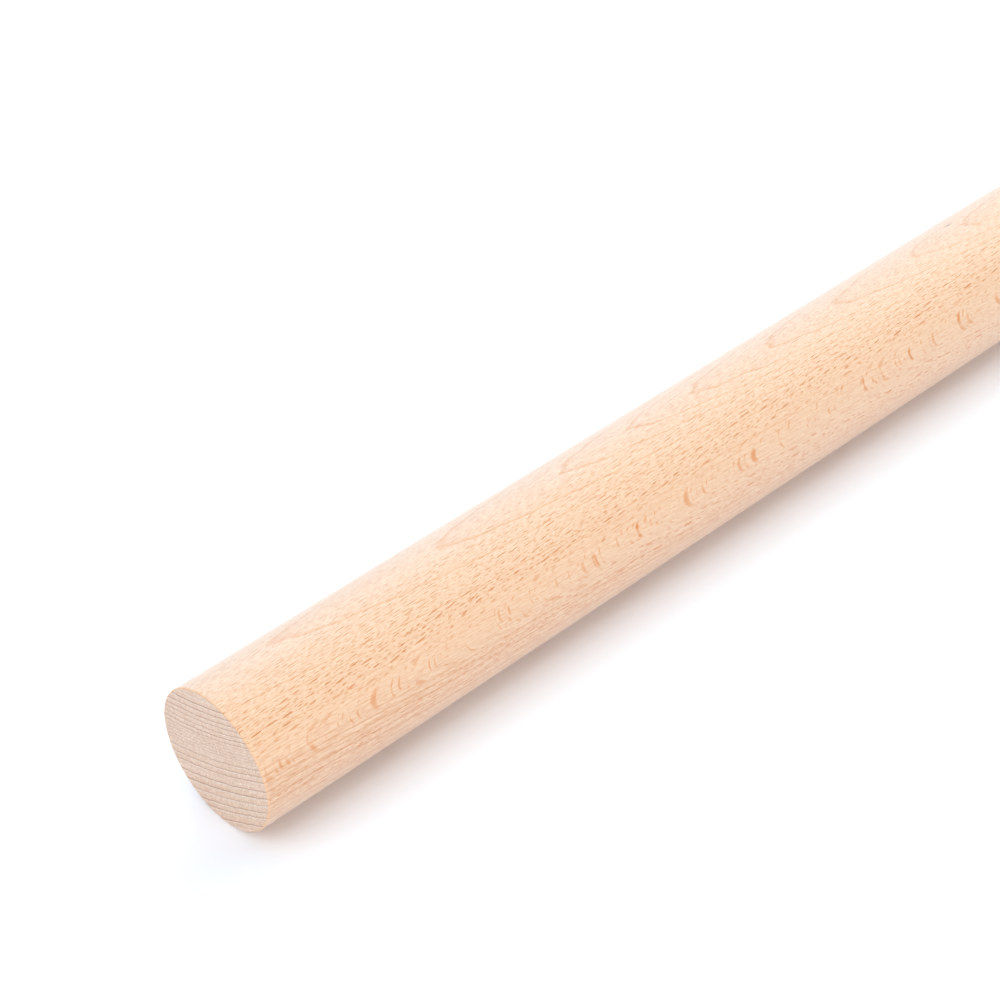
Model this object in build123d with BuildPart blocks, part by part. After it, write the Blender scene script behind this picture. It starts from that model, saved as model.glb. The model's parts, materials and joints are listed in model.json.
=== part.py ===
"""Beech dowel rod: one plain round bar, sawn square at both ends.

The rod lies along X, with its middle at the origin and +Z up. All sizes are in millimetres.
"""

from build123d import *
import os

rod_diameter = 40.0  # sanded shaft
rod_length = 500.0  # from one sawn end to the other
arris_radius = 0.4  # easing left by the sandpaper where each end meets the shaft

with BuildPart() as dowel_rod:
    with BuildSketch(Plane.YZ):
        Circle(rod_diameter / 2)
    extrude(amount=rod_length / 2, both=True)

    # Each sawn end has one circular edge, and both get the same light easing.
    fillet(dowel_rod.edges().filter_by(GeomType.CIRCLE), radius=arris_radius)

dowel_rod.part.label = "dowel_rod"

os.makedirs("parts", exist_ok=True)
export_step(dowel_rod.part, "parts/dowel_rod.step")
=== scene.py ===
"""Looks of a beech dowel rod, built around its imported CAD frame.

The rod lies along X with its near end at the lowest X. Its wood is drawn as a solid: year rings, rays and
fibres are worked out in the space of the tree it was cut from, so that they meet across every edge.
"""

from __future__ import annotations

import json
import logging
import math
from dataclasses import astuple, dataclass
from enum import Enum

import bmesh
import bpy
from mathutils import Matrix, Vector

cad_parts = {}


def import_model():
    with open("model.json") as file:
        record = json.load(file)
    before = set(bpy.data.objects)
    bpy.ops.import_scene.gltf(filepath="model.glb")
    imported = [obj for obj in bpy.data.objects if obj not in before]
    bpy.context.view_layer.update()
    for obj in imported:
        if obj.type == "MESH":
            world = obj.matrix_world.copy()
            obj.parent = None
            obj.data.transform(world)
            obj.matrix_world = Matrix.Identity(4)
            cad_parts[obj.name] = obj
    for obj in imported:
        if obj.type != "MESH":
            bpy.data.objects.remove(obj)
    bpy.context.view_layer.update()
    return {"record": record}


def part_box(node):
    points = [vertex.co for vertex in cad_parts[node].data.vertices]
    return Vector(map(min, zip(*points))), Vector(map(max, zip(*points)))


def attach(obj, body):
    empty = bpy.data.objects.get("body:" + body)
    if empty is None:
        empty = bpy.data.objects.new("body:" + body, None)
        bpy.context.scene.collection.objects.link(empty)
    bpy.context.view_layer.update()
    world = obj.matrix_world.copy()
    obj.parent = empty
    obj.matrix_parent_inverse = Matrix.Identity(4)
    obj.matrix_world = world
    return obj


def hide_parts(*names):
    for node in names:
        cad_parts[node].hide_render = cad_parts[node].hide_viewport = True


LOG = logging.getLogger("dowel_rod")
MM = 0.001
PER_MM = 1000.0
NODE_NAME = "dowel_rod"
BODY_NAME = "root"
SHAFT_MOUNT = "shaft"
WHITE = (1.0, 1.0, 1.0, 1.0)
# How far from the near end, in metres, the lamps are aimed.
LAMP_AIM = 0.12
# The node that does sums, and how far apart nodes are set out in the editor.
MATH = "ShaderNodeMath"
NODE_STEP = 180.0

NodeValue = object


def hex_to_linear(code: str) -> tuple[float, float, float, float]:
    """Turn an sRGB hex colour into linear RGBA.

    Args:
        code: Six hex digits, with or without a leading "#".

    Returns:
        Linear red, green, blue and an alpha of 1.
    """
    digits = code.lstrip("#")
    channels = [int(digits[i : i + 2], 16) / 255 for i in (0, 2, 4)]
    linear = [c / 12.92 if c <= 0.04045 else ((c + 0.055) / 1.055) ** 2.4 for c in channels]
    return (*linear, 1.0)


def add_node(
    tree: bpy.types.NodeTree,
    kind: str,
    inputs: dict[str | int, NodeValue] | None = None,
    **settings: object,
) -> bpy.types.Node:
    """Add one node with its settings and its links.

    Args:
        tree: The node tree that gets the node.
        kind: The node's type name, such as "ShaderNodeMath".
        inputs: Input names or numbers, each with a value, a socket, or a node whose first output it takes.
        settings: Properties of the node, such as operation="ADD".

    Returns:
        The new node.
    """
    node = tree.nodes.new(kind)
    for name, value in settings.items():
        setattr(node, name, value)
    for key, value in (inputs or {}).items():
        source = value.outputs[0] if isinstance(value, bpy.types.Node) else value
        if isinstance(source, bpy.types.NodeSocket):
            tree.links.new(source, node.inputs[key])
        else:
            node.inputs[key].default_value = source
    node.location = (len(tree.nodes) * NODE_STEP, 0.0)
    return node


def start_group(name: str, takes: dict[str, float], gives: tuple[str, ...]) -> bpy.types.NodeTree:
    """Start a node group of number sockets.

    Args:
        name: The group's name.
        takes: Input names with their default values.
        gives: Output names.

    Returns:
        The empty group, with its sockets declared.
    """
    tree = bpy.data.node_groups.new(name, "ShaderNodeTree")
    for socket_name, value in takes.items():
        socket = tree.interface.new_socket(socket_name, in_out="INPUT", socket_type="NodeSocketFloat")
        socket.default_value = value
    for socket_name in gives:
        tree.interface.new_socket(socket_name, in_out="OUTPUT", socket_type="NodeSocketFloat")
    return tree


def seen_directly(tree: bpy.types.NodeTree) -> bpy.types.Node:
    """Tell the rays that see the white surroundings from the rays that light the rod.

    Args:
        tree: The node tree of the floor or of the room.

    Returns:
        A node that gives 1 to the camera, to gloss and to glass, and 0 to all other rays.
    """
    path = add_node(tree, "ShaderNodeLightPath").outputs
    seen = add_node(tree, MATH, {0: path["Is Camera Ray"], 1: path["Is Glossy Ray"]}, operation="ADD")
    return add_node(
        tree, MATH, {0: seen, 1: path["Is Transmission Ray"]}, operation="ADD", use_clamp=True
    )


class RodEnd(Enum):
    """The two sawn ends, by the sign of X that they face."""

    NEAR = -1.0
    FAR = 1.0


class Finish(Enum):
    """The surfaces of the rod, by material index."""

    SHAFT = 0
    END = 1
    ARRIS = 2


class Feature(Enum):
    """What the wood shows at a place, each from 0 to 1."""

    LATE_WOOD = "Late wood"
    RING_LINE = "Ring line"
    # A paler tone over the bark side, the rod's lower front side: painted light from the floor's bounce.
    OUTER_WOOD_AND_PAINTED_LIGHT = "Outer wood"
    OUTER_BAND = "Outer late wood"
    EARLY_WOOD = "Early wood"
    BROAD_RAY = "Broad ray"
    FLAKE = "Flake"
    FINE_RAY = "Fine ray"
    FIBRE = "Fibre"
    PORE = "Pore"
    STREAK = "Streak"
    OUTER_STREAK = "Outer streak"
    CLOUD = "Cloud"
    MINERAL = "Mineral"


@dataclass(frozen=True)
class Ramp:
    """A change from a first value to a last one, while something else goes from a start to an end."""

    start: float
    end: float
    first: float = 0.0
    last: float = 1.0

    def sockets(self) -> dict[str, float]:
        """Return the ramp by the names of the inputs that take it."""
        return {"From Min": self.start, "From Max": self.end, "To Min": self.first, "To Max": self.last}


@dataclass(frozen=True)
class Figure:
    """An uneven figure in the wood, by its size in mm along, round and out from the trunk.

    What shows of it is a ramp over its noise.
    """

    along_mm: float
    around_mm: float
    outward_mm: float
    detail: float = 1.0
    roughness: float = 0.5
    shows: Ramp = Ramp(0.0, 1.0)

    def noise(self, tree: bpy.types.NodeTree, place: NodeValue) -> bpy.types.Node:
        """Add the noise that the figure is made from.

        Args:
            tree: The group that gets the nodes.
            place: The place in the tree, in mm.

        Returns:
            The noise, with its middle at 0.5.
        """
        scale = (1 / self.along_mm, 1 / self.around_mm, 1 / self.outward_mm)
        spot = add_node(tree, "ShaderNodeVectorMath", {0: place, 1: scale}, operation="MULTIPLY")
        settings = {"Vector": spot, "Scale": 1.0, "Detail": self.detail, "Roughness": self.roughness}
        return add_node(tree, "ShaderNodeTexNoise", settings)


@dataclass(frozen=True)
class TreePlacement:
    """Where in the tree the rod was cut, as seen from the rod.

    The pith is the tree's centre line. Bearings are in degrees round the rod, from +Y through +Z.
    """

    pith_bearing: float = 72.5
    pith_distance_mm: float = 140.0
    # How far the trunk leans from the rod, and how far its grain winds round it, per length along it.
    lean: float = 0.05
    spiral: float = 0.028
    # How the rings swing on their way to the near end, by the distance from it in mm.
    swing: Ramp = Ramp(12.0, 78.0, -0.114, 0.0)
    # How much wider the rings grow with each mm round the trunk.
    crowding_per_mm: float = 0.005
    # Depth of the oldest ring drawn, from the rod's middle and away from the pith, and every ring outwards
    # from there as its width in mm and how dark its late wood is.
    first_ring_mm: float = -50.1
    rings: tuple[tuple[float, float], ...] = (
        ((1.9, 0.6), (1.5, 0.8), (1.7, 0.6), (2.0, 0.7), (1.6, 0.8), (1.4, 0.6), (1.8, 0.7), (1.7, 0.6))
        + ((1.75, 0.8), (1.2, 0.7), (1.7, 0.9), (1.5, 0.95), (1.55, 1.0), (1.2, 1.0), (1.3, 1.0))
        + ((2.3, 0.75), (2.7, 0.6), (3.1, 0.1), (2.0, 0.95), (1.85, 0.8), (1.75, 0.85), (1.4, 0.75))
        + ((1.6, 0.7), (1.4, 1.0), (1.3, 0.7), (0.9, 0.5), (1.0, 0.45), (0.9, 0.6), (0.9, 0.55))
        + ((0.9, 0.55), (1.0, 0.15), (1.1, 0.8), (2.0, 0.6), (1.8, 0.8), (1.3, 0.1), (1.5, 0.8))
        + ((2.3, 0.7), (2.2, 0.4), (2.3, 0.65), (1.8, 0.6), (2.8, 0.7), (1.4, 0.12), (2.5, 0.6), (2.3, 0.5))
    )

    def to_pith(self) -> Vector:
        """Return the direction from the rod's middle towards the pith, square to the rod."""
        bearing = math.radians(self.pith_bearing)
        return Vector((0.0, math.cos(bearing), math.sin(bearing)))

    def axes(self) -> Matrix:
        """Work out the tree's own directions, as seen from the rod.

        Returns:
            The directions as rows: along the trunk, out towards the bark, and round the trunk.
        """
        along = (Vector((1.0, 0.0, 0.0)) - self.lean * self.to_pith()).normalized()
        outward = -(self.to_pith() + Vector((self.lean, 0.0, 0.0))).normalized()
        return Matrix((along, outward, along.cross(outward)))


@dataclass(frozen=True)
class RayFamily:
    """One family of rays: thin upright ribbons of soft cells that run from the pith towards the bark.

    Cut across, each shows as a short dark fleck. Cut lengthwise, it shows as a broad flake.
    """

    # Rays stand in columns round the trunk, one to each pitch along it. Next come half their width, half
    # the length of the shortest and of the longest, the share of places that hold a ray, and how far a ray
    # runs towards the bark. The seed gives each family luck of its own.
    column_mm: float
    pitch_mm: float
    half_width_mm: float
    shortest_mm: float
    longest_mm: float
    presence: float
    run_mm: float
    seed: float

    def sockets(self) -> dict[str, float]:
        """Return the family's sizes by the names of the ray group's inputs."""
        names = ("Column", "Pitch", "Half width", "Shortest", "Longest", "Presence", "Run", "Seed")
        return dict(zip(names, astuple(self), strict=True))


@dataclass(frozen=True)
class RayShape:
    """The shape that the rays of both families share."""

    # Each column of rays starts up to this many rays higher or lower than the next.
    stagger: float = 9.0
    # Above 1, short rays outnumber long ones.
    length_bias: float = 1.6
    # From the shortest ray to the longest, as a share of the family's half width.
    thickness: Ramp = Ramp(0.0, 1.0, 0.8, 1.3)
    # How much of its column's width a ray may be shifted over.
    sideways: float = 0.45
    # Below 1, the sides are fuller than a lens's.
    fullness: float = 0.7
    # The higher, the more suddenly a ray thins where its run ends.
    run_taper: float = 8.0
    # From the faintest ray to the darkest, and how far the seed of this is from the seed of the shapes.
    shade: Ramp = Ramp(0.0, 1.0, 0.6, 1.0)
    shade_seed: float = 41.5
    # How soft the edge is on a ray cut across, as a share of its half width, and what a full swell adds.
    edge: float = 0.3
    swell_softens: float = 0.5
    # How much of its length a full swell takes off.
    swell_shortens: float = 0.4


@dataclass(frozen=True)
class YearShape:
    """How a year ring darkens, by the share of its width from its start in spring."""

    # Pale spring wood, slow darkening, the dark late band, the line at its edge and its sudden end.
    early: Ramp = Ramp(0.04, 0.3, 1.0, 0.0)
    slow: Ramp = Ramp(0.4, 0.95, 0.0, 0.16)
    band: Ramp = Ramp(0.8, 0.93, 0.0, 0.84)
    line: Ramp = Ramp(0.89, 0.95)
    close: Ramp = Ramp(0.97, 1.0, 1.0, 0.0)


@dataclass(frozen=True)
class MineralMark:
    """A small grey sliver of mineral that lies along the grain, near the rod's top."""

    from_near_end_mm: float = 286.7
    bearing: float = 68.0
    out_mm: float = 20.0
    reach_mm: tuple[float, float, float] = (2.2, 2.0, 0.4)
    fade: Ramp = Ramp(0.3, 1.0, 1.0, 0.0)

    def draw(self, tree: bpy.types.NodeTree, near_end_mm: float) -> bpy.types.Node:
        """Draw the mark.

        Args:
            tree: The group that gets the mark's nodes.
            near_end_mm: The place along X of the rod's near end.

        Returns:
            The node whose output is 1 in the mark.
        """
        turn = math.radians(self.bearing)
        along = near_end_mm + self.from_near_end_mm
        middle = Vector((along, self.out_mm * math.cos(turn), self.out_mm * math.sin(turn)))
        sliver = add_node(
            tree,
            "ShaderNodeMapping",
            {
                "Vector": add_node(tree, "ShaderNodeTexCoord").outputs["Object"],
                "Location": middle * MM,
                "Rotation": (turn, 0.0, 0.0),
                "Scale": tuple(reach * MM for reach in self.reach_mm),
            },
            vector_type="TEXTURE",
        )
        away = add_node(tree, "ShaderNodeVectorMath", {0: sliver}, operation="LENGTH").outputs["Value"]
        return add_node(
            tree,
            "ShaderNodeMapRange",
            {"Value": away, **self.fade.sockets()},
            interpolation_type="SMOOTHSTEP",
        )


@dataclass
class BeechSolid:
    """The wood itself, as node groups that every finish of the rod shares.

    Of its ramps, the first three go by how squarely the surface faces round the trunk, and the other two by
    the depth in mm.
    """

    near_end_mm: float
    tree: TreePlacement = TreePlacement()
    year: YearShape = YearShape()
    ray_shape: RayShape = RayShape()
    broad_rays: RayFamily = RayFamily(0.8, 4.6, 0.085, 0.65, 2.15, 0.94, 26.0, 3.0)
    fine_rays: RayFamily = RayFamily(0.42, 2.1, 0.045, 0.37, 1.0, 0.92, 11.0, 17.0)
    # Where the surface lies level with the rays: how strongly fine ones show, and how many times as thick
    # all of them look.
    fine_flake_share: float = 0.75
    flake_swell: float = 2.0
    level: Ramp = Ramp(0.983, 0.998)
    flake_bow: Ramp = Ramp(0.98, 1.0, -2.0, 0.0)
    aslant: Ramp = Ramp(0.92, 0.99, 1.0, 0.35)
    ray_paling: Ramp = Ramp(-6.0, 4.0, 1.0, 0.62)
    bark_side: Ramp = Ramp(-7.0, 3.0)
    wander: Figure = Figure(30.0, 8.0, 7.0, detail=1.5)
    wander_mm: tuple[float, float, float] = (3.0, 1.0, 0.0)
    # Raggedness of every edge, drawn many times as coarse as the cells that cause it so that it shows.
    grit: Figure = Figure(0.6, 0.25, 0.4)
    ray_grit: float = 0.4
    ring_grit_mm: float = 0.07
    ring_wobble: Figure = Figure(25.0, 3.0, 5.0, detail=2.0, roughness=0.55)
    ring_wobble_mm: float = 0.3
    # Fibres lie along the trunk, and are drawn ten times as wide as real ones so that they show.
    fibre: Figure = Figure(6.0, 0.24, 0.24, shows=Ramp(0.4, 0.8))
    # Pores, under a tenth of a millimetre wide, are drawn about twice as wide so that they show.
    pore: Figure = Figure(1.8, 0.15, 0.15, detail=0.0, shows=Ramp(0.5, 0.8))
    # Bundles of darker fibres run on for half a centimetre or more.
    streak: Figure = Figure(6.0, 0.55, 0.55, detail=2.0, roughness=0.6, shows=Ramp(0.4, 0.72))
    # The tone drifts over centimetres.
    cloud: Figure = Figure(60.0, 11.0, 9.0, shows=Ramp(0.3, 0.7))
    mineral: MineralMark = MineralMark()

    def place_group(self) -> bpy.types.NodeTree:
        """Build the group that turns the rod's own coordinates into places in the tree.

        Returns:
            A group that gives, in mm, the place along, round and out from the trunk and the depth for the
            rings, and how squarely the surface there faces round the trunk, from 0 to 1.
        """
        tree = start_group("Place in the tree", {}, ("Along", "Around", "Outward", "Depth", "Quarter"))
        turn = self.tree.axes()
        pith = Vector((self.near_end_mm, 0.0, 0.0)) + self.tree.pith_distance_mm * self.tree.to_pith()
        own = add_node(tree, "ShaderNodeTexCoord").outputs
        stem = add_node(
            tree,
            "ShaderNodeMapping",
            {
                "Vector": own["Object"],
                "Scale": (PER_MM, PER_MM, PER_MM),
                "Rotation": turn.to_euler("XYZ"),
                "Location": -(turn @ pith),
            },
            vector_type="POINT",
        )
        place = add_node(tree, "ShaderNodeSeparateXYZ", {0: stem}).outputs
        across = add_node(tree, "ShaderNodeCombineXYZ", {1: place["Y"], 2: place["Z"]})
        outward = add_node(tree, "ShaderNodeVectorMath", {0: across}, operation="LENGTH").outputs["Value"]
        angle = add_node(tree, MATH, {0: place["Z"], 1: place["Y"]}, operation="ARCTAN2")
        from_pith = self.tree.pith_distance_mm
        arc = add_node(tree, MATH, {0: angle, 1: from_pith}, operation="MULTIPLY")
        around = add_node(
            tree, MATH, {0: place["X"], 1: -self.tree.spiral, 2: arc}, operation="MULTIPLY_ADD"
        )
        # The rings swing a little near the end, as they do near a branch.
        swing = add_node(
            tree,
            "ShaderNodeMapRange",
            {"Value": place["X"], **self.tree.swing.sockets()},
            interpolation_type="SMOOTHSTEP",
        )
        centred = add_node(tree, MATH, {0: outward, 1: from_pith}, operation="SUBTRACT")
        swung = add_node(tree, MATH, {0: swing, 1: place["Z"], 2: centred}, operation="MULTIPLY_ADD")
        # Rings grow narrower round one side of the trunk than round the other.
        crowd = add_node(
            tree, MATH, {0: place["Z"], 1: -self.tree.crowding_per_mm, 2: 1.0}, operation="MULTIPLY_ADD"
        )
        depth = add_node(tree, MATH, {0: swung, 1: crowd}, operation="MULTIPLY")
        # The surface faces round the trunk where it lies level with the rays: the quarter-cut band.
        facing = add_node(
            tree,
            "ShaderNodeMapping",
            {"Vector": own["Normal"], "Rotation": turn.to_euler("XYZ")},
            vector_type="POINT",
        )
        straight_out = add_node(tree, "ShaderNodeVectorMath", {0: across}, operation="NORMALIZE")
        turned = add_node(
            tree, "ShaderNodeVectorMath", {0: straight_out, 1: facing}, operation="CROSS_PRODUCT"
        )
        turned_parts = add_node(tree, "ShaderNodeSeparateXYZ", {0: turned}).outputs
        quarter = add_node(tree, MATH, {0: turned_parts["X"]}, operation="ABSOLUTE")
        add_node(
            tree,
            "NodeGroupOutput",
            {"Along": place["X"], "Around": around, "Outward": outward, "Depth": depth, "Quarter": quarter},
        )
        return tree

    def ray_group(self) -> bpy.types.NodeTree:
        """Build the group that draws one family of rays.

        Returns:
            A group that takes a place in the tree and the family's sizes, and gives 1 inside a ray.
        """
        places = {"Along": 0.0, "Around": 0.0, "Outward": 0.0, "Ragged": 0.0, "Swell": 1.0}
        tree = start_group("Beech rays", {**places, **self.broad_rays.sockets()}, ("Ray",))
        given = add_node(tree, "NodeGroupInput").outputs
        form = self.ray_shape
        # Columns of rays stand side by side round the trunk, each started at a height of its own.
        column_place = add_node(tree, MATH, {0: given["Around"], 1: given["Column"]}, operation="DIVIDE")
        column = add_node(tree, MATH, {0: column_place}, operation="FLOOR")
        in_column = add_node(tree, MATH, {0: column_place}, operation="FRACT")
        column_key = add_node(tree, "ShaderNodeCombineXYZ", {0: column, 1: given["Seed"]})
        column_luck = add_node(tree, "ShaderNodeTexWhiteNoise", {0: column_key}, noise_dimensions="2D")
        row_level = add_node(tree, MATH, {0: given["Along"], 1: given["Pitch"]}, operation="DIVIDE")
        row_place = add_node(
            tree,
            MATH,
            {0: column_luck.outputs["Value"], 1: form.stagger, 2: row_level},
            operation="MULTIPLY_ADD",
        )
        row = add_node(tree, MATH, {0: row_place}, operation="FLOOR")
        in_row = add_node(tree, MATH, {0: row_place}, operation="FRACT")
        # A ray runs outwards for a while and then ends, and another takes its place.
        row_key = add_node(tree, "ShaderNodeCombineXYZ", {0: column, 1: row, 2: given["Seed"]})
        row_luck = add_node(tree, "ShaderNodeTexWhiteNoise", {0: row_key}, noise_dimensions="3D")
        run_level = add_node(tree, MATH, {0: given["Outward"], 1: given["Run"]}, operation="DIVIDE")
        run_place = add_node(tree, MATH, {0: run_level, 1: row_luck.outputs["Value"]}, operation="ADD")
        run = add_node(tree, MATH, {0: run_place}, operation="FLOOR")
        in_run = add_node(tree, MATH, {0: run_place}, operation="FRACT")
        key = add_node(tree, "ShaderNodeCombineXYZ", {0: column, 1: row, 2: run})
        shape_luck = add_node(
            tree, "ShaderNodeTexWhiteNoise", {"Vector": key, "W": given["Seed"]}, noise_dimensions="4D"
        )
        shape = add_node(tree, "ShaderNodeSeparateColor", {0: shape_luck.outputs["Color"]}).outputs
        other_seed = add_node(tree, MATH, {0: given["Seed"], 1: form.shade_seed}, operation="ADD")
        tone_luck = add_node(
            tree, "ShaderNodeTexWhiteNoise", {"Vector": key, "W": other_seed}, noise_dimensions="4D"
        )
        tone = add_node(tree, "ShaderNodeSeparateColor", {0: tone_luck.outputs["Color"]}).outputs
        # Luck and places that are measured from the middle, from -0.5 to 0.5.
        length_side, width_side, row_side, column_side, run_side = (
            add_node(tree, MATH, {0: share, 1: 0.5}, operation="SUBTRACT")
            for share in (shape["Green"], shape["Blue"], in_row, in_column, in_run)
        )
        # Height above the ray's middle, as a share of its half length.
        size = add_node(tree, MATH, {0: shape["Red"], 1: form.length_bias}, operation="POWER")
        half_length = add_node(
            tree,
            "ShaderNodeMapRange",
            {"Value": size, "To Min": given["Shortest"], "To Max": given["Longest"]},
        )
        less = form.swell_shortens
        shortened = add_node(
            tree, MATH, {0: given["Swell"], 1: -less, 2: 1.0 + less}, operation="MULTIPLY_ADD"
        )
        half_shown = add_node(tree, MATH, {0: half_length, 1: shortened}, operation="MULTIPLY")
        spare_length = add_node(
            tree, MATH, {0: half_length, 1: -2.0, 2: given["Pitch"]}, operation="MULTIPLY_ADD"
        )
        shift_up = add_node(tree, MATH, {0: length_side, 1: spare_length}, operation="MULTIPLY")
        height = add_node(tree, MATH, {0: row_side, 1: given["Pitch"]}, operation="MULTIPLY")
        above = add_node(tree, MATH, {0: height, 1: shift_up}, operation="SUBTRACT")
        rise = add_node(tree, MATH, {0: above, 1: half_shown}, operation="DIVIDE")
        rise_square = add_node(tree, MATH, {0: rise, 1: rise}, operation="MULTIPLY")
        # Distance from the ray's mid-plane, as a share of its half width. Longer rays are thicker too.
        stout = add_node(tree, "ShaderNodeMapRange", {"Value": size, **form.thickness.sockets()})
        swollen = add_node(tree, MATH, {0: stout, 1: given["Swell"]}, operation="MULTIPLY")
        half_width = add_node(tree, MATH, {0: swollen, 1: given["Half width"]}, operation="MULTIPLY")
        spare_width = add_node(tree, MATH, {0: given["Column"], 1: form.sideways}, operation="MULTIPLY")
        shift_side = add_node(tree, MATH, {0: width_side, 1: spare_width}, operation="MULTIPLY")
        width = add_node(tree, MATH, {0: column_side, 1: given["Column"]}, operation="MULTIPLY")
        beside = add_node(tree, MATH, {0: width, 1: shift_side}, operation="SUBTRACT")
        beside_share = add_node(tree, MATH, {0: beside, 1: half_width}, operation="DIVIDE")
        beside_size = add_node(tree, MATH, {0: beside_share}, operation="ABSOLUTE")
        # A spindle: full in the middle, pointed above and below, and thinning where its run ends.
        run_share = add_node(tree, MATH, {0: run_side, 1: 2.0}, operation="MULTIPLY")
        run_end = add_node(tree, MATH, {0: run_share, 1: form.run_taper}, operation="POWER")
        full = add_node(tree, MATH, {0: 1.0, 1: rise_square}, operation="SUBTRACT")
        full_run = add_node(tree, MATH, {0: full, 1: run_end}, operation="SUBTRACT", use_clamp=True)
        outline = add_node(tree, MATH, {0: full_run, 1: form.fullness}, operation="POWER")
        uneven = add_node(tree, MATH, {0: outline, 1: given["Ragged"]}, operation="ADD")
        inside = add_node(tree, MATH, {0: uneven, 1: beside_size}, operation="SUBTRACT")
        softer = form.swell_softens
        edge = add_node(
            tree, MATH, {0: given["Swell"], 1: softer, 2: form.edge - softer}, operation="MULTIPLY_ADD"
        )
        filled = add_node(tree, "ShaderNodeMapRange", {"Value": inside, "From Max": edge})
        there = add_node(tree, MATH, {0: tone["Red"], 1: given["Presence"]}, operation="LESS_THAN")
        shade = add_node(tree, "ShaderNodeMapRange", {"Value": tone["Green"], **form.shade.sockets()})
        drawn = add_node(tree, MATH, {0: filled, 1: there}, operation="MULTIPLY")
        shaded = add_node(tree, MATH, {0: drawn, 1: shade}, operation="MULTIPLY")
        add_node(tree, "NodeGroupOutput", {"Ray": shaded})
        return tree

    def ring_group(self) -> bpy.types.NodeTree:
        """Build the group that draws the year rings.

        Returns:
            A group that takes a depth in mm and gives the dark late wood, the thin line that ends it and
            the pale early wood, each from 0 to 1.
        """
        tree = start_group("Beech year rings", {"Depth": 0.0}, ("Late", "Line", "Early"))
        given = add_node(tree, "NodeGroupInput").outputs
        widths = [width for width, _ in self.tree.rings]
        start, span = self.tree.first_ring_mm, sum(widths)
        share = add_node(
            tree,
            "ShaderNodeMapRange",
            {"Value": given["Depth"], "From Min": start, "From Max": start + span},
        )
        age = add_node(tree, "ShaderNodeFloatCurve", {"Value": share})
        strength = add_node(tree, "ShaderNodeFloatCurve", {"Value": share})
        strength.mapping.curves[0].points[0].location.y = self.tree.rings[0][1]
        strength.mapping.curves[0].points[1].location.y = self.tree.rings[-1][1]
        for count, (_, darkness) in enumerate(self.tree.rings[:-1], start=1):
            place = sum(widths[:count]) / span
            age.mapping.curves[0].points.new(place, count / len(widths))
            strength.mapping.curves[0].points.new(place, darkness)
        age.mapping.update()
        strength.mapping.update()
        years = add_node(tree, MATH, {0: age, 1: len(widths)}, operation="MULTIPLY")
        season = add_node(tree, MATH, {0: years}, operation="FRACT")
        # Each year darkens slowly, ends in a thin dark line and starts again pale.
        year = self.year
        slow, band, edge, early = (
            add_node(
                tree,
                "ShaderNodeMapRange",
                {"Value": season, **part.sockets()},
                interpolation_type="SMOOTHSTEP",
            )
            for part in (year.slow, year.band, year.line, year.early)
        )
        fall = add_node(tree, "ShaderNodeMapRange", {"Value": season, **year.close.sockets()})
        falling = add_node(tree, MATH, {0: fall, 1: strength}, operation="MULTIPLY")
        rise = add_node(tree, MATH, {0: slow, 1: band}, operation="ADD")
        late = add_node(tree, MATH, {0: rise, 1: falling}, operation="MULTIPLY")
        line = add_node(tree, MATH, {0: edge, 1: falling}, operation="MULTIPLY")
        add_node(tree, "NodeGroupOutput", {"Late": late, "Line": line, "Early": early})
        return tree

    def build(self) -> bpy.types.NodeTree:
        """Build the group that gives every feature of the wood at a place in the rod.

        Returns:
            A group with one output from 0 to 1 for each feature.
        """
        tree = start_group("Beech solid", {}, tuple(feature.value for feature in Feature))
        place = add_node(tree, "ShaderNodeGroup", node_tree=self.place_group()).outputs
        point = add_node(
            tree, "ShaderNodeCombineXYZ", {0: place["Along"], 1: place["Around"], 2: place["Outward"]}
        )
        # The grain wanders by half a millimetre either way over the width of a finger.
        wander = self.wander.noise(tree, point)
        wandered = add_node(
            tree,
            "ShaderNodeVectorMath",
            {0: wander.outputs["Color"], 1: self.wander_mm, 2: point},
            operation="MULTIPLY_ADD",
        )
        grain = add_node(tree, "ShaderNodeSeparateXYZ", {0: wandered}).outputs
        grit = self.grit.noise(tree, wandered)
        wobble = self.ring_wobble.noise(tree, point)
        ragged, ring_grit, ring_shift = (
            add_node(tree, MATH, {0: noise, 1: 2 * reach, 2: -reach}, operation="MULTIPLY_ADD")
            for noise, reach in (
                (grit, self.ray_grit),
                (grit, self.ring_grit_mm),
                (wobble, self.ring_wobble_mm),
            )
        )
        # Where the surface lies level with the rays, they show through a little wood and look thicker, and
        # a ray that it cuts aslant shows wider and paler. Towards the bark the rays are paler, and the
        # streaks and the late wood darker. The bark side is the rod's lower front side as it lies, and the
        # paler tone laid over it there is painted light, standing in for light bounced up from the floor.
        level, steep, pale, outer_and_painted_light = (
            add_node(
                tree,
                "ShaderNodeMapRange",
                {"Value": place[given], **ramp.sockets()},
                interpolation_type="SMOOTHSTEP",
            )
            for given, ramp in (
                ("Quarter", self.level),
                ("Quarter", self.aslant),
                ("Depth", self.ray_paling),
                ("Depth", self.bark_side),
            )
        )
        swell = add_node(
            tree, MATH, {0: level, 1: self.flake_swell - 1.0, 2: 1.0}, operation="MULTIPLY_ADD"
        )
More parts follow.
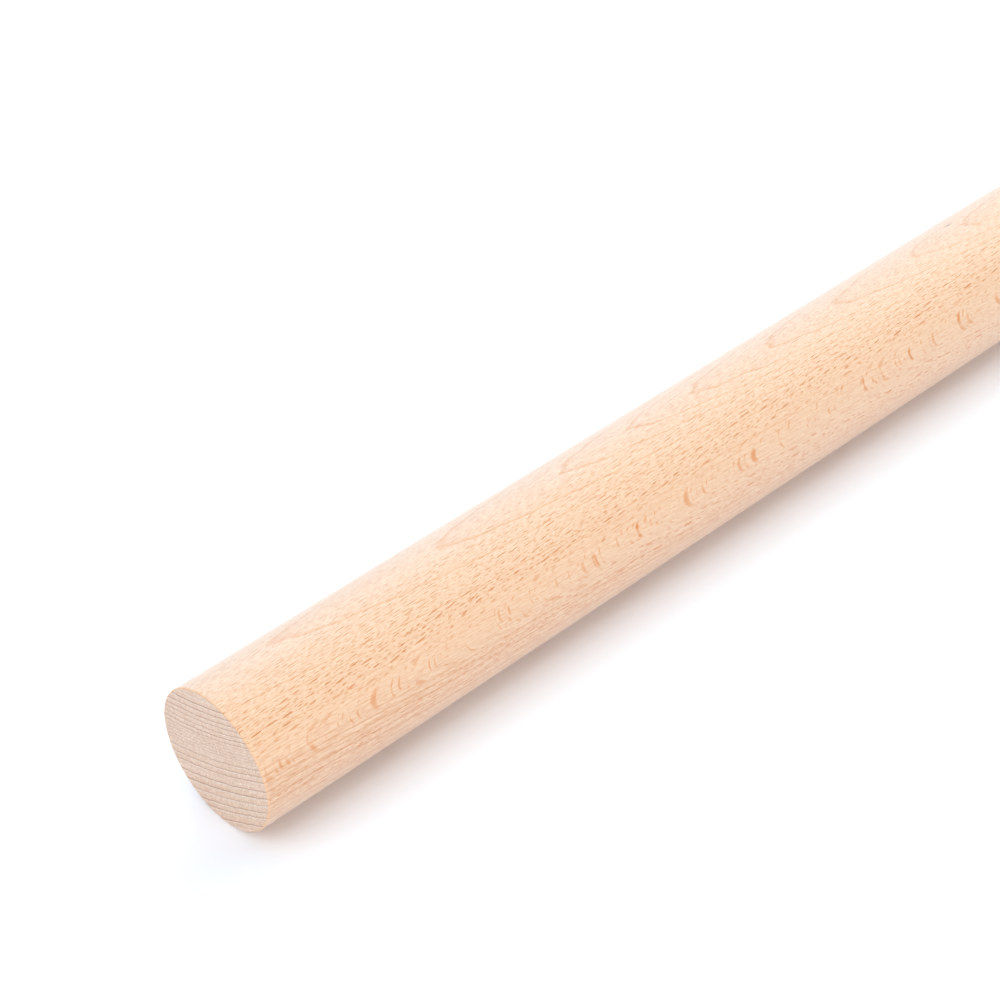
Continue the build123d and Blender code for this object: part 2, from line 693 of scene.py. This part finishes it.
        # A flake bows away from the near end above and below its middle.
        bow = add_node(tree, "ShaderNodeMapRange", {"Value": place["Quarter"], **self.flake_bow.sockets()})
        bowed = add_node(tree, MATH, {0: grain["X"], 1: bow}, operation="ADD")
        rays = self.ray_group()
        where = {"Along": bowed, "Around": grain["Y"], "Outward": grain["Z"], "Ragged": ragged}
        broad, fine = (
            add_node(tree, "ShaderNodeGroup", {**where, "Swell": swell, **family.sockets()}, node_tree=rays)
            for family in (self.broad_rays, self.fine_rays)
        )
        not_level = add_node(tree, MATH, {0: 1.0, 1: level}, operation="SUBTRACT")
        shown = add_node(tree, MATH, {0: steep, 1: not_level}, operation="MULTIPLY")
        fleck = add_node(tree, MATH, {0: broad, 1: shown}, operation="MULTIPLY")
        broad_ray = add_node(tree, MATH, {0: fleck, 1: pale}, operation="MULTIPLY")
        fine_ray = add_node(tree, MATH, {0: fine, 1: shown}, operation="MULTIPLY")
        small_flake = add_node(tree, MATH, {0: fine, 1: self.fine_flake_share}, operation="MULTIPLY")
        any_flake = add_node(tree, MATH, {0: broad, 1: small_flake}, operation="MAXIMUM")
        flake = add_node(tree, MATH, {0: any_flake, 1: level}, operation="MULTIPLY")
        # Rings wander slowly, wobble every few millimetres and have slightly rough edges.
        ring_near = add_node(tree, MATH, {0: place["Depth"], 1: ring_shift}, operation="ADD")
        ring_depth = add_node(tree, MATH, {0: ring_near, 1: ring_grit}, operation="ADD")
        ring_tree = self.ring_group()
        rings = add_node(tree, "ShaderNodeGroup", {"Depth": ring_depth}, node_tree=ring_tree).outputs
        fibre, pore, streak, cloud = (
            add_node(
                tree, "ShaderNodeMapRange", {"Value": figure.noise(tree, spot), **figure.shows.sockets()}
            )
            for figure, spot in (
                (self.fibre, wandered),
                (self.pore, wandered),
                (self.streak, wandered),
                (self.cloud, point),
            )
        )
        outer_streak = add_node(tree, MATH, {0: outer_and_painted_light, 1: streak}, operation="MULTIPLY")
        outer_band = add_node(tree, MATH, {0: outer_and_painted_light, 1: rings["Late"]}, operation="MULTIPLY")
        outputs = {
            Feature.LATE_WOOD: rings["Late"],
            Feature.RING_LINE: rings["Line"],
            # The bark side, which takes the painted light from the floor's bounce.
            Feature.OUTER_WOOD_AND_PAINTED_LIGHT: outer_and_painted_light,
            Feature.OUTER_BAND: outer_band,
            Feature.EARLY_WOOD: rings["Early"],
            Feature.BROAD_RAY: broad_ray,
            Feature.FLAKE: flake,
            Feature.FINE_RAY: fine_ray,
            Feature.FIBRE: fibre,
            Feature.PORE: pore,
            Feature.STREAK: streak,
            Feature.OUTER_STREAK: outer_streak,
            Feature.CLOUD: cloud,
            Feature.MINERAL: self.mineral.draw(tree, self.near_end_mm),
        }
        add_node(tree, "NodeGroupOutput", {feature.value: source for feature, source in outputs.items()})
        return tree


@dataclass(frozen=True)
class Stain:
    """How strongly one feature of the wood colours a surface, and with what."""

    feature: Feature
    strength: float
    colour: str


@dataclass(frozen=True)
class BeechFinish:
    """One way that bare beech is cut and finished, with the colours and the gloss that this gives it."""

    name: str
    wood: str
    stains: tuple[Stain, ...]
    roughness: float
    roughness_spread: float
    relief_mm: float
    ior: float = 1.5
    sheen: float = 0.0
    sheen_roughness: float = 0.5
    ray_relief: float = 0.0

    def build(self, solid: bpy.types.NodeTree) -> bpy.types.Material:
        """Build the material.

        Args:
            solid: The shared group of the wood's features.

        Returns:
            The finished material.
        """
        material = bpy.data.materials.new(self.name)
        material.use_nodes = True
        tree = material.node_tree
        tree.nodes.clear()
        wood = add_node(tree, "ShaderNodeGroup", node_tree=solid).outputs
        colour = hex_to_linear(self.wood)
        for stain in self.stains:
            seen = wood[stain.feature.value]
            share = add_node(tree, MATH, {0: seen, 1: stain.strength}, operation="MULTIPLY")
            colour = add_node(
                tree,
                "ShaderNodeMix",
                {0: share, 6: colour, 7: hex_to_linear(stain.colour)},
                data_type="RGBA",
            ).outputs[2]
        fibre = wood[Feature.FIBRE.value]
        low, high = self.roughness - self.roughness_spread, self.roughness + self.roughness_spread
        gloss = Ramp(0.0, 1.0, low, high)
        roughness = add_node(tree, "ShaderNodeMapRange", {"Value": fibre, **gloss.sockets()})
        height = add_node(
            tree,
            MATH,
            {0: wood[Feature.BROAD_RAY.value], 1: self.ray_relief, 2: fibre},
            operation="MULTIPLY_ADD",
        )
        bump = add_node(
            tree, "ShaderNodeBump", {"Height": height, "Strength": 1.0, "Distance": self.relief_mm * MM}
        )
        shader = add_node(
            tree,
            "ShaderNodeBsdfPrincipled",
            {
                "Base Color": colour,
                "Roughness": roughness,
                "IOR": self.ior,
                "Sheen Weight": self.sheen,
                "Sheen Roughness": self.sheen_roughness,
                "Normal": bump,
            },
        )
        add_node(tree, "ShaderNodeOutputMaterial", {"Surface": shader})
        return material


# Cut along the grain and sanded: warm, even and satin, and paler where light grazes it.
SANDED_SHAFT = BeechFinish(
    name="Beech, sanded along the grain",
    wood="#E5C6A8",
    stains=(
        Stain(Feature.CLOUD, 0.12, "#E3BF9B"),
        Stain(Feature.EARLY_WOOD, 0.08, "#F6E5D4"),
        # Painted light: a paler tone over the bark side, the rod's lower front side, for the floor's
        # bounce.
        Stain(Feature.OUTER_WOOD_AND_PAINTED_LIGHT, 0.2, "#EACDB0"),
        Stain(Feature.LATE_WOOD, 0.13, "#D68F4E"),
        Stain(Feature.RING_LINE, 0.62, "#D68F4E"),
        Stain(Feature.OUTER_BAND, 0.8, "#BC7840"),
        Stain(Feature.FIBRE, 0.35, "#D4955E"),
        Stain(Feature.PORE, 0.5, "#CC8753"),
        Stain(Feature.STREAK, 0.2, "#D09263"),
        Stain(Feature.OUTER_STREAK, 0.5, "#CC8C5A"),
        Stain(Feature.FINE_RAY, 1.0, "#C87418"),
        Stain(Feature.BROAD_RAY, 1.0, "#C86E08"),
        Stain(Feature.FLAKE, 1.0, "#D28030"),
        Stain(Feature.MINERAL, 0.9, "#6E3E2C"),
    ),
    roughness=0.5,
    roughness_spread=0.05,
    relief_mm=0.006,
    ior=1.6,
    sheen=0.6,
    ray_relief=-0.5,
)

# Eased with sandpaper: half end grain, so that it takes up dust and draws a thin warm line round the end.
EASED_ARRIS = BeechFinish(
    name="Beech, arris eased with sandpaper",
    wood="#EBC4A2",
    stains=(
        Stain(Feature.LATE_WOOD, 0.6, "#B87440"),
        Stain(Feature.FIBRE, 0.3, "#C98A55"),
        Stain(Feature.BROAD_RAY, 0.8, "#C67412"),
    ),
    roughness=0.55,
    roughness_spread=0.05,
    relief_mm=0.006,
)

# Cut across the grain: open cell ends scatter light, so that it is paler, pinker and duller.
SAWN_END = BeechFinish(
    name="Beech end grain, sawn and lightly sanded",
    wood="#F8E0CC",
    stains=(
        Stain(Feature.CLOUD, 0.12, "#E1C6B0"),
        Stain(Feature.EARLY_WOOD, 0.7, "#FFF9F4"),
        Stain(Feature.LATE_WOOD, 1.0, "#985428"),
        Stain(Feature.STREAK, 0.5, "#C89B7C"),
        Stain(Feature.FIBRE, 0.5, "#CDA285"),
        Stain(Feature.PORE, 1.0, "#BF8A68"),
        Stain(Feature.BROAD_RAY, 0.45, "#FBF1E8"),
    ),
    roughness=0.8,
    roughness_spread=0.08,
    relief_mm=0.02,
    ior=1.45,
)


@dataclass
class DowelRod:
    """The rod: one round bar with sanded sides, two sawn ends and an eased arris round each."""

    low: Vector
    high: Vector
    radius: float
    arris: float = 0.4 * MM
    arris_steps: int = 4
    sides: int = 256
    guard: float = 0.3 * MM
    # How much of its normal a face turns along the rod, at least, to be flat end grain or an eased arris.
    end_facing: float = 0.999
    arris_facing: float = 0.01
    # The gap round each part of the flat layout, and the layout's side as a share of the rod's length.
    map_gap: float = 1.0 * MM
    map_share: float = 0.55

    @property
    def length(self) -> float:
        """Return the length from one sawn end to the other."""
        return self.high.x - self.low.x

    @property
    def map_width(self) -> float:
        """Return the side of the square that the surface is laid out on."""
        return self.length * self.map_share

    @property
    def map_cut(self) -> float:
        """Return the place along the rod where its layout is cut in two."""
        return self.low.x + self.map_width - 2 * self.map_gap

    def build(self) -> bpy.types.Object:
        """Build the rod's mesh.

        Returns:
            The rod's object, with its three materials still to be given.
        """
        bm = bmesh.new()
        face_near = Matrix.Translation((self.low.x, 0.0, 0.0)) @ Matrix.Rotation(-math.pi / 2, 4, "Y")
        bmesh.ops.create_circle(
            bm, cap_ends=True, segments=self.sides, radius=self.radius, matrix=face_near
        )
        drawn = bmesh.ops.extrude_face_region(bm, geom=bm.faces[:])
        moved = [item for item in drawn["geom"] if isinstance(item, bmesh.types.BMVert)]
        bmesh.ops.translate(bm, verts=moved, vec=(self.length, 0.0, 0.0))
        bmesh.ops.recalc_face_normals(bm, faces=bm.faces)
        rims = [edge for edge in bm.edges if abs(edge.verts[0].co.x - edge.verts[1].co.x) < MM]
        bmesh.ops.bevel(
            bm,
            geom=rims,
            offset=self.arris,
            offset_type="OFFSET",
            segments=self.arris_steps,
            profile=0.5,
            affect="EDGES",
            material=-1,
        )
        # Only the two flat ends have more than four corners by now. Loops just inside each arris keep its
        # shading from spreading over the flat end and the shaft.
        caps = [face for face in bm.faces if len(face.verts) > 4]
        for _ in range(2):
            bmesh.ops.inset_region(bm, faces=caps, thickness=self.guard, use_even_offset=True)
        bmesh.ops.poke(bm, faces=caps)
        margin = self.arris + self.guard
        for place in (self.low.x + margin, self.map_cut, self.high.x - margin):
            everything = bm.verts[:] + bm.edges[:] + bm.faces[:]
            cut = Vector((place, 0.0, 0.0))
            bmesh.ops.bisect_plane(bm, geom=everything, plane_co=cut, plane_no=(1.0, 0.0, 0.0))
        bmesh.ops.recalc_face_normals(bm, faces=bm.faces)
        for face in bm.faces:
            face.smooth = True
            turned = abs(face.normal.x)
            long_face = Finish.ARRIS if turned > self.arris_facing else Finish.SHAFT
            face.material_index = (Finish.END if turned > self.end_facing else long_face).value
        self.lay_out(bm)
        mesh = bpy.data.meshes.new("beech_dowel_rod")
        bm.to_mesh(mesh)
        bm.free()
        rod = bpy.data.objects.new("beech_dowel_rod", mesh)
        bpy.context.scene.collection.objects.link(rod)
        return rod

    def lay_out(self, bm: bmesh.types.BMesh) -> None:
        """Lay the surface out flat: two strips of unrolled shaft, and the ends beside the shorter one.

        Args:
            bm: The rod's mesh.
        """
        layer = bm.loops.layers.uv.new("OFBake")
        strip = (self.map_width - 3 * self.map_gap) / 2
        stretch = strip / (2 * math.pi * self.radius)
        for face in bm.faces:
            centre = face.calc_center_median()
            if face.material_index == Finish.END.value:
                # The near end lies a quarter of the way up beside the upper strip, and the far end three.
                end = RodEnd.NEAR if centre.x < 0 else RodEnd.FAR
                middle_across = self.map_width - self.map_gap - self.radius
                middle_up = self.map_width / 2 + (2 + end.value) / 4 * strip + self.map_gap
                for loop in face.loops:
                    spot = loop.vert.co
                    across, up = middle_across - end.value * spot.y, middle_up + spot.z
                    loop[layer].uv = (across / self.map_width, up / self.map_width)
                continue
            second = centre.x > self.map_cut
            start = self.map_cut if second else self.low.x
            bottom = 2 * self.map_gap + strip if second else self.map_gap
            facing = math.atan2(-centre.y, centre.z)
            for loop in face.loops:
                spot = loop.vert.co
                turn = math.atan2(-spot.y, spot.z)
                turn += 2 * math.pi * round((facing - turn) / (2 * math.pi))
                drop = self.radius - math.hypot(spot.y, spot.z)
                along = spot.x - start + math.copysign(drop, centre.x) + self.map_gap
                up = bottom + stretch * self.radius * (turn + math.pi)
                loop[layer].uv = (along / self.map_width, up / self.map_width)

    def dress(self, rod: bpy.types.Object, finishes: dict[Finish, bpy.types.Material]) -> None:
        """Give the rod its materials.

        Args:
            rod: The rod's object.
            finishes: The material of each finish.
        """
        for finish in Finish:
            rod.data.materials.append(finishes[finish])


@dataclass(frozen=True)
class Softbox:
    """One square lamp with a white cloth front, aimed at the rod. Its place is in metres from there."""

    name: str
    place: tuple[float, float, float]
    power: float
    tint: str = "#FFFFFF"
    size: float = 1.2


@dataclass
class Studio:
    """A white table under soft lamps, in a pale room."""

    floor_height: float
    aim: Vector
    room_light: float = 0.28
    room_tint: str = "#FCFEFF"
    floor_tint: str = "#F3F6FD"
    floor_size: float = 6.0
    # How far from the aim, in metres, the lamps light the floor, and how much white is added to it.
    floor_lit: float = 0.5
    floor_lift: float = 0.05
    boxes: tuple[Softbox, ...] = (
        Softbox("overhead softbox", (0.0, 0.0, 1.5), 4.4, "#F0FAFF"),
        Softbox("back corner softbox", (0.835, 0.995, 0.75), 6.8, "#DAEBFF"),
        Softbox("back softbox", (0.329, 1.229, 0.795), 7.0, "#DAEBFF"),
        Softbox("far softbox", (1.149, 0.0, 0.964), 10.3, "#F3FFFF"),
        Softbox("near softbox", (-1.061, 0.0, 1.061), 12.3, "#F8FDFF"),
        Softbox("front softbox", (0.0, -1.455, 0.363), 9.2, "#FFF2E5", 0.6),
    )

    def floor(self) -> bpy.types.Object:
        """Build the table top.

        Returns:
            The floor's object.
        """
        bm = bmesh.new()
        bmesh.ops.create_grid(
            bm,
            x_segments=1,
            y_segments=1,
            size=self.floor_size / 2,
            matrix=Matrix.Translation((self.aim.x, self.aim.y, self.floor_height)),
        )
        mesh = bpy.data.meshes.new("studio_floor")
        bm.to_mesh(mesh)
        bm.free()
        floor = bpy.data.objects.new("studio_floor", mesh)
        bpy.context.scene.collection.objects.link(floor)
        # Matt paper scatters light evenly, so that it shows no gloss and only the rod's soft shadow.
        material = bpy.data.materials.new("White paper sweep, matt")
        material.use_nodes = True
        tree = material.node_tree
        tree.nodes.clear()
        seen = seen_directly(tree)
        lift = add_node(tree, MATH, {0: seen, 1: self.floor_lift}, operation="MULTIPLY")
        paper = add_node(tree, "ShaderNodeBsdfDiffuse", {"Color": hex_to_linear(self.floor_tint)})
        glow = add_node(tree, "ShaderNodeEmission", {"Color": WHITE, "Strength": lift})
        both = add_node(tree, "ShaderNodeAddShader", {0: paper, 1: glow})
        # Past the reach of the lamps the sweep runs on into the white of the room.
        own = add_node(tree, "ShaderNodeTexCoord").outputs["Object"]
        from_aim = add_node(tree, "ShaderNodeVectorMath", {0: own, 1: self.aim}, operation="DISTANCE")
        far = add_node(
            tree,
            "ShaderNodeMapRange",
            {"Value": from_aim.outputs["Value"], **Ramp(self.floor_lit, 2 * self.floor_lit).sockets()},
            interpolation_type="SMOOTHSTEP",
        )
        faded = add_node(tree, MATH, {0: far, 1: seen}, operation="MULTIPLY")
        white = add_node(tree, "ShaderNodeEmission", {"Color": WHITE, "Strength": 1.0})
        sweep = add_node(tree, "ShaderNodeMixShader", {0: faded, 1: both, 2: white})
        add_node(tree, "ShaderNodeOutputMaterial", {"Surface": sweep})
        mesh.materials.append(material)
        return floor

    def room(self) -> None:
        """Build the pale room that fills in the shadows."""
        world = bpy.data.worlds.new("Pale room")
        world.use_nodes = True
        tree = world.node_tree
        tree.nodes.clear()
        lit = add_node(
            tree,
            "ShaderNodeBackground",
            {"Color": hex_to_linear(self.room_tint), "Strength": self.room_light},
        )
        white = add_node(tree, "ShaderNodeBackground", {"Color": WHITE, "Strength": 1.0})
        both = add_node(tree, "ShaderNodeMixShader", {0: seen_directly(tree), 1: lit, 2: white})
        add_node(tree, "ShaderNodeOutputWorld", {"Surface": both})
        bpy.context.scene.world = world

    def lamps(self) -> list[bpy.types.Object]:
        """Hang the softboxes, each aimed at the rod.

        Returns:
            The lamps' objects.
        """
        hung = []
        for box in self.boxes:
            lamp = bpy.data.lights.new(box.name, "AREA")
            lamp.shape = "SQUARE"
            lamp.size = box.size
            lamp.energy = box.power
            lamp.color = hex_to_linear(box.tint)[:3]
            stand = bpy.data.objects.new(box.name, lamp)
            stand.location = Vector(box.place) + self.aim
            stand.rotation_euler = (-Vector(box.place)).to_track_quat("-Z", "Y").to_euler()
            bpy.context.scene.collection.objects.link(stand)
            hung.append(stand)
        return hung


@dataclass(frozen=True)
class ProductCamera:
    """A long lens that looks down along the rod from beyond its near end."""

    offset_mm: tuple[float, float, float] = (-258.3, -368.8, 452.0)
    bearing: float = 46.21
    pitch: float = 39.75
    lens_mm: float = 94.08
    sensor_mm: float = 36.0
    clip: tuple[float, float] = (0.01, 50.0)

    def build(self, near_end: Vector) -> bpy.types.Object:
        """Set up the camera.

        Args:
            near_end: The middle of the rod's near end.

        Returns:
            The camera's object.
        """
        data = bpy.data.cameras.new("product camera")
        data.lens = self.lens_mm
        data.sensor_width = self.sensor_mm
        data.clip_start, data.clip_end = self.clip
        camera = bpy.data.objects.new("product camera", data)
        camera.location = near_end + Vector(self.offset_mm) * MM
        camera.rotation_euler = (math.radians(90 - self.pitch), 0.0, math.radians(self.bearing - 90))
        bpy.context.scene.collection.objects.link(camera)
        bpy.context.scene.camera = camera
        return camera


def main() -> None:
    """Build the rod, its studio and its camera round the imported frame."""
    logging.basicConfig(level=logging.INFO, format="%(name)s: %(message)s")
    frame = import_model()
    low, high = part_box(NODE_NAME)
    near_end = Vector((low.x, (low.y + high.y) / 2, (low.z + high.z) / 2))
    bpy.context.scene.view_settings.view_transform = "Standard"

    solid = BeechSolid(near_end_mm=near_end.x * PER_MM).build()
    LOG.info("wood drawn: %s", solid.name)
    looks = {Finish.SHAFT: SANDED_SHAFT, Finish.END: SAWN_END, Finish.ARRIS: EASED_ARRIS}
    finishes = {finish: look.build(solid) for finish, look in looks.items()}
    for finish, material in finishes.items():
        LOG.info("finish %s: %s", finish.name, material.name)

    shaft = next(mount for mount in frame["record"]["mounts"] if mount["name"] == SHAFT_MOUNT)
    maker = DowelRod(low=Vector(low), high=Vector(high), radius=shaft["dims"]["r_mm"] * MM)
    rod = maker.build()
    maker.dress(rod, finishes)
    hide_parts(NODE_NAME)
    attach(rod, BODY_NAME)
    LOG.info("rod built: %d faces", len(rod.data.polygons))

    studio = Studio(floor_height=low.z, aim=near_end + Vector((LAMP_AIM, 0.0, 0.0)))
    studio.floor()
    studio.room()
    LOG.info("studio set: %d lamps", len(studio.lamps()))
    camera = ProductCamera().build(near_end)
    LOG.info("camera set: %s", camera.name)


if __name__ == "__main__":
    main()
